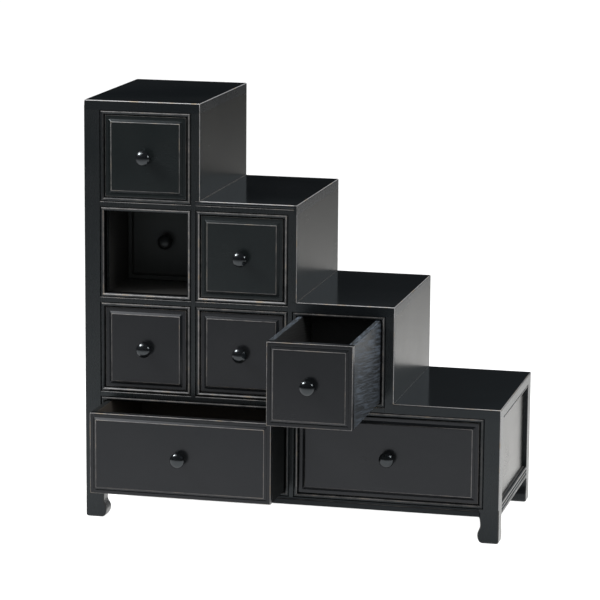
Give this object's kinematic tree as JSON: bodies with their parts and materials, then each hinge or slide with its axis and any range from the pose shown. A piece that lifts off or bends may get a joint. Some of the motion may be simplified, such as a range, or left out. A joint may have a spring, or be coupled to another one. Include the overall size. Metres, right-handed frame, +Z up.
{
  "type": "stepped drawer chest",
  "caption": "Stepped drawer chest in distressed black lacquer: small square drawers above wide ones, step tops going down to the right, carved feet.",
  "frame": {"origin": "on the floor, under the middle of the box of the whole chest with its drawers as they stand at rest", "axes": "+X to the chest's right as seen from the front, towards the lowest step; +Y to the back; +Z up"},
  "size_m": [0.95, 0.7264, 0.9535],
  "materials": {
    "frame_lacquer": "satin black lacquer rubbed through along the edges",
    "top_lacquer": "semi-gloss black lacquer",
    "panel_lacquer": "satin black lacquer",
    "inner_board": "unpolished dark stain",
    "front_lacquer": "satin black lacquer rubbed through along the field's edges",
    "drawer_side": "thin brushed black stain",
    "drawer_bottom": "unpolished dark stain",
    "knob_lacquer": "gloss black lacquer"
  },
  "bodies": {
    "cabinet": {"post_front_left": "frame_lacquer", "post_rear_left": "frame_lacquer", "post_front_right": "frame_lacquer", "post_rear_right": "frame_lacquer", "step_top_1": "top_lacquer", "step_top_2": "top_lacquer", "step_top_3": "top_lacquer", "step_top_4": "top_lacquer", "bottom_board": "inner_board", "rail_1": "frame_lacquer", "rail_2": "frame_lacquer", "rail_3": "frame_lacquer", "rail_4": "frame_lacquer", "bottom_rail": "frame_lacquer", "stile_1": "frame_lacquer", "stile_2": "frame_lacquer", "stile_3": "frame_lacquer", "stile_centre": "frame_lacquer", "partition_1": "panel_lacquer", "partition_2": "panel_lacquer", "partition_3": "panel_lacquer", "partition_centre": "panel_lacquer", "side_panel_left": "panel_lacquer", "side_panel_right": "panel_lacquer", "side_rail_left": "panel_lacquer", "side_rail_right": "panel_lacquer", "back_panel": "inner_board"},
    "drawer_r1c1": {"front_r1c1": "front_lacquer", "box_r1c1": "drawer_side", "bottom_r1c1": "drawer_bottom", "knob_r1c1": "knob_lacquer"},
    "drawer_r2c1": {"front_r2c1": "front_lacquer", "box_r2c1": "drawer_side", "bottom_r2c1": "drawer_bottom", "knob_r2c1": "knob_lacquer"},
    "drawer_r2c2": {"front_r2c2": "front_lacquer", "box_r2c2": "drawer_side", "bottom_r2c2": "drawer_bottom", "knob_r2c2": "knob_lacquer"},
    "drawer_r3c1": {"front_r3c1": "front_lacquer", "box_r3c1": "drawer_side", "bottom_r3c1": "drawer_bottom", "knob_r3c1": "knob_lacquer"},
    "drawer_r3c2": {"front_r3c2": "front_lacquer", "box_r3c2": "drawer_side", "bottom_r3c2": "drawer_bottom", "knob_r3c2": "knob_lacquer"},
    "drawer_r3c3": {"front_r3c3": "front_lacquer", "box_r3c3": "drawer_side", "bottom_r3c3": "drawer_bottom", "knob_r3c3": "knob_lacquer"},
    "drawer_r4_left": {"front_r4_left": "front_lacquer", "box_r4_left": "drawer_side", "bottom_r4_left": "drawer_bottom", "knob_r4_left": "knob_lacquer"},
    "drawer_r4_right": {"front_r4_right": "front_lacquer", "box_r4_right": "drawer_side", "bottom_r4_right": "drawer_bottom", "knob_r4_right": "knob_lacquer"}
  },
  "joints": [
    {"name": "slide_r1c1", "type": "slide", "parent": "cabinet", "child": "drawer_r1c1", "axis": [0, -1, 0], "range_m": [0, 0.3]},
    {"name": "slide_r2c1", "type": "slide", "parent": "cabinet", "child": "drawer_r2c1", "axis": [0, -1, 0], "range_m": [0, 0.3]},
    {"name": "slide_r2c2", "type": "slide", "parent": "cabinet", "child": "drawer_r2c2", "axis": [0, -1, 0], "range_m": [0, 0.3]},
    {"name": "slide_r3c1", "type": "slide", "parent": "cabinet", "child": "drawer_r3c1", "axis": [0, -1, 0], "range_m": [0, 0.3]},
    {"name": "slide_r3c2", "type": "slide", "parent": "cabinet", "child": "drawer_r3c2", "axis": [0, -1, 0], "range_m": [0, 0.3]},
    {"name": "slide_r3c3", "type": "slide", "parent": "cabinet", "child": "drawer_r3c3", "axis": [0, -1, 0], "range_m": [-0.283, 0.017]},
    {"name": "slide_r4_left", "type": "slide", "parent": "cabinet", "child": "drawer_r4_left", "axis": [0, -1, 0], "range_m": [-0.125, 0.175]},
    {"name": "slide_r4_right", "type": "slide", "parent": "cabinet", "child": "drawer_r4_right", "axis": [0, -1, 0], "range_m": [0, 0.3]}
  ]
}
